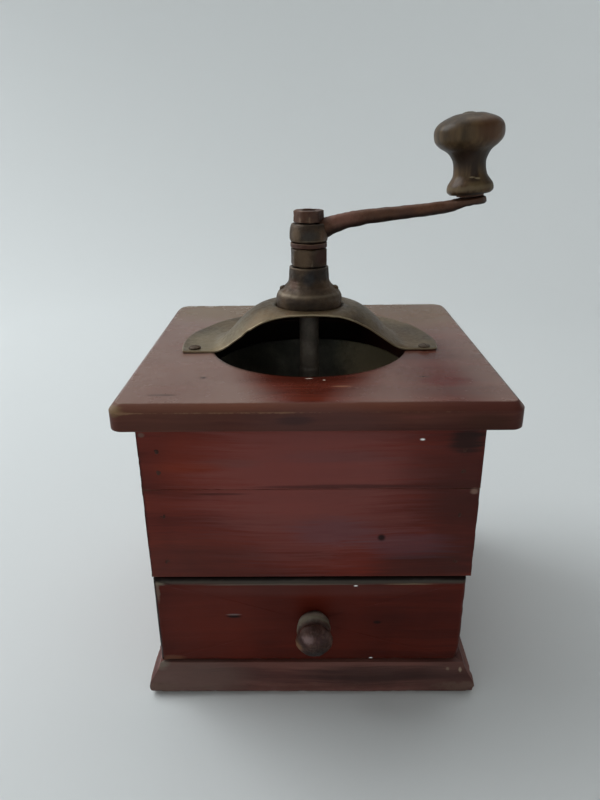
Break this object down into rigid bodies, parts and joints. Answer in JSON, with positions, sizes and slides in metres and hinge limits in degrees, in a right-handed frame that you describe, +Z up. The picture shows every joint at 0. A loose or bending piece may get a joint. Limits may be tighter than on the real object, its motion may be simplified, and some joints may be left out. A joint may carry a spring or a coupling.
{
  "type": "manual box coffee grinder",
  "caption": "Hand-cranked coffee mill: wooden box on a moulded base, drawer below, steel dome over the hopper hole, iron hub and crank with a turned wooden knob.",
  "frame": {"origin": "centre of the base board's flat underside, which stands on the table", "axes": "+Z up along the mill's spindle, -Y towards the drawer and its knob, +X towards the crank's knob as pictured"},
  "size_m": [0.1694, 0.1748, 0.2622],
  "materials": {
    "stained_panel_wood": "dark red-brown stain, worn, satin",
    "stained_top_wood": "red-brown stain, worn, satin",
    "worn_base_wood": "dull grey-brown, worn",
    "bare_inner_wood": "bare, unfinished",
    "varnished_knob_wood": "turned, varnished, glossy",
    "weathered_knob_wood": "turned, weathered",
    "patinated_sheet_steel": "olive-brown patina, satin",
    "dark_cast_iron": "dark, dull",
    "rusted_bar_steel": "even brown rust, dull",
    "worn_spindle_steel": "worn, lightly rusted",
    "hardened_burr_steel": "hardened, dull",
    "dull_hopper_steel": "dull sheet",
    "nail_steel": "browned"
  },
  "bodies": {
    "box": {"back_panel": "stained_panel_wood", "base_plinth": "worn_base_wood", "bearing_yoke": "dark_cast_iron", "burr_screw_1": "hardened_burr_steel", "burr_screw_2": "hardened_burr_steel", "burr_screw_3": "hardened_burr_steel", "bushing": "dark_cast_iron", "bushing_rivet_left": "dark_cast_iron", "bushing_rivet_right": "dark_cast_iron", "dome_plate": "patinated_sheet_steel", "front_plank_lower": "stained_panel_wood", "front_plank_lower_nail_left_high": "nail_steel", "front_plank_lower_nail_left_low": "nail_steel", "front_plank_lower_nail_right_high": "nail_steel", "front_plank_lower_nail_right_low": "nail_steel", "front_plank_upper": "stained_panel_wood", "front_plank_upper_nail_left_high": "nail_steel", "front_plank_upper_nail_left_low": "nail_steel", "front_plank_upper_nail_right_high": "nail_steel", "front_plank_upper_nail_right_low": "nail_steel", "hopper_bowl": "dull_hopper_steel", "hopper_tack_1": "nail_steel", "hopper_tack_2": "nail_steel", "hopper_tack_3": "nail_steel", "hopper_tack_4": "nail_steel", "lower_bush": "worn_spindle_steel", "mill_deck": "bare_inner_wood", "outer_burr": "hardened_burr_steel", "plate_screw_back": "nail_steel", "plate_screw_left": "nail_steel", "plate_screw_right": "nail_steel", "side_panel_left": "stained_panel_wood", "side_panel_right": "stained_panel_wood", "top_board": "stained_top_wood", "yoke_screw_left": "dark_cast_iron", "yoke_screw_right": "dark_cast_iron"},
    "crank": {"crank_washer": "dark_cast_iron", "crank_arm": "rusted_bar_steel", "knob_pin": "rusted_bar_steel", "knob_washer": "rusted_bar_steel"},
    "spindle": {"spindle": "worn_spindle_steel", "inner_burr": "hardened_burr_steel", "burr_nut": "hardened_burr_steel"},
    "adjusting_nut": {"adjusting_nut": "dark_cast_iron"},
    "top_nut": {"top_nut": "rusted_bar_steel"},
    "crank_knob": {"crank_knob": "varnished_knob_wood"},
    "drawer": {"drawer_back": "bare_inner_wood", "drawer_bottom": "bare_inner_wood", "drawer_front": "stained_panel_wood", "drawer_knob": "weathered_knob_wood", "drawer_knob_screw": "nail_steel", "drawer_side_left": "bare_inner_wood", "drawer_side_right": "bare_inner_wood"}
  },
  "joints": [
    {"name": "crank_turn", "type": "hinge", "parent": "box", "child": "crank", "pos_m": [0, -0.002, 0.2095], "axis": [0, 0, 1], "continuous": true},
    {"name": "adjusting_nut_turn", "type": "hinge", "parent": "crank", "child": "adjusting_nut", "pos_m": [0, -0.002, 0.198], "axis": [0, 0, 1], "range_deg": [-360, 0]},
    {"name": "spindle_lift", "type": "slide", "parent": "crank", "child": "spindle", "axis": [0, 0, 1], "range_m": [0, 0.0015]},
    {"name": "top_nut_turn", "type": "hinge", "parent": "crank", "child": "top_nut", "pos_m": [0, -0.002, 0.217], "axis": [0, 0, 1], "range_deg": [-360, 0]},
    {"name": "knob_spin", "type": "hinge", "parent": "crank", "child": "crank_knob", "pos_m": [0.075, -0.002, 0.22495], "axis": [-0.1018, 0, 0.9948], "continuous": true},
    {"name": "drawer_slide", "type": "slide", "parent": "box", "child": "drawer", "axis": [0, -1, 0], "range_m": [0, 0.11]}
  ],
  "couplings": [
    {"joint": "adjusting_nut_turn", "follows": "spindle_lift", "rad_per_m": -4188.8},
    {"joint": "top_nut_turn", "follows": "spindle_lift", "rad_per_m": -4188.8}
  ]
}
